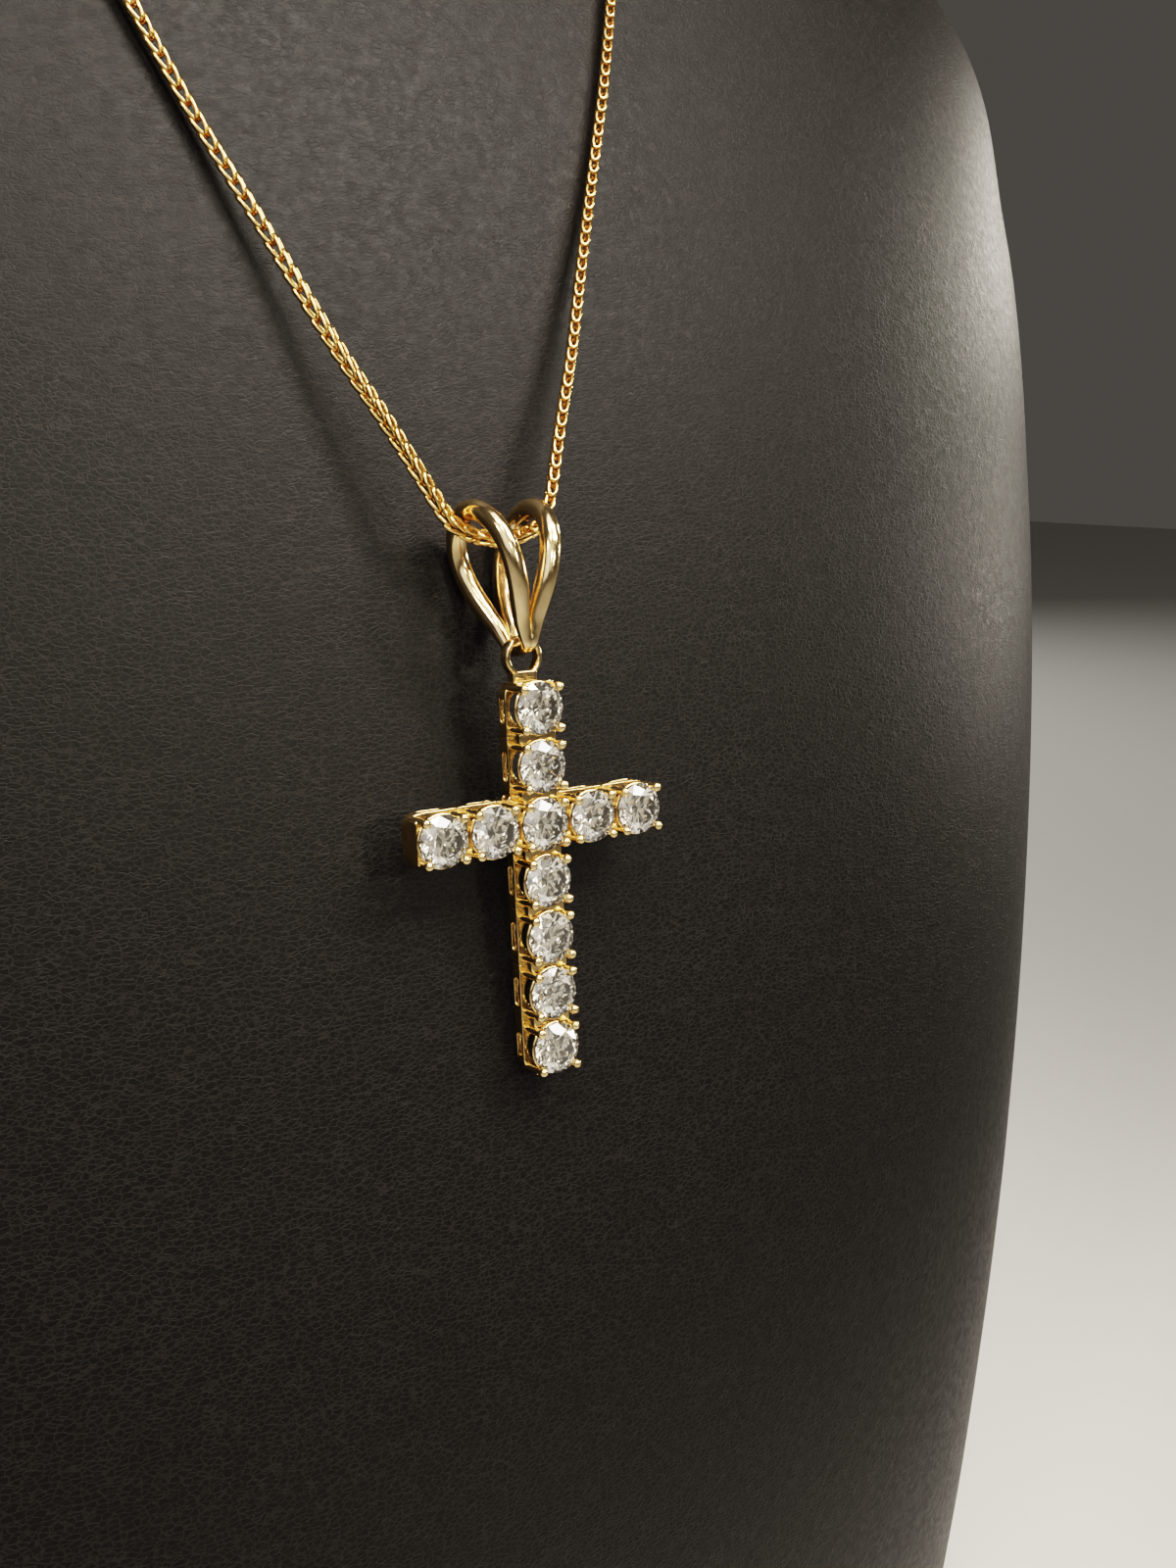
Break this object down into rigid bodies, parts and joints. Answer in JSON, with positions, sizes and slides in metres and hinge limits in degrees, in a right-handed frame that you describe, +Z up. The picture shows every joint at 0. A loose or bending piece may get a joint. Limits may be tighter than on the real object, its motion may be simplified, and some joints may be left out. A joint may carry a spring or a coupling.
{
  "type": "cross pendant necklace on a neck bust",
  "caption": "Gold cross pendant of round brilliant stones in ball-prong baskets, hung by a split bail on a fine woven chain round a plain black leatherette neck bust.",
  "frame": {"origin": "centre of the object's outline on the floor, under the bust's flat base", "axes": "+Z up, -Y the bust's front with the cross, +X to the right as seen from the front"},
  "size_m": [0.2444, 0.1302, 0.325],
  "materials": {
    "black_leatherette": "fine-grained soft sheen",
    "polished_gold": "polished yellow gold",
    "clear_stone": "faceted and polished"
  },
  "bodies": {
    "stand": {"neck_bust": "black_leatherette", "chain": "polished_gold", "clasp": "polished_gold"},
    "bail": {"bail": "polished_gold"},
    "cross": {"cross_frame": "polished_gold", "stone_centre": "clear_stone", "stone_top_1": "clear_stone", "stone_top_2": "clear_stone", "stone_bottom_1": "clear_stone", "stone_bottom_2": "clear_stone", "stone_bottom_3": "clear_stone", "stone_bottom_4": "clear_stone", "stone_left_1": "clear_stone", "stone_left_2": "clear_stone", "stone_right_1": "clear_stone", "stone_right_2": "clear_stone"}
  },
  "joints": [
    {"name": "bail_swing", "type": "hinge", "parent": "stand", "child": "bail", "pos_m": [0, -0.05158, 0.17695], "axis": [-1, 0, 0], "range_deg": [0, 60]},
    {"name": "cross_swing", "type": "hinge", "parent": "bail", "child": "cross", "pos_m": [0, -0.05495, 0.16609], "axis": [0, 0.9966, -0.0819], "range_deg": [-40, 40]}
  ]
}
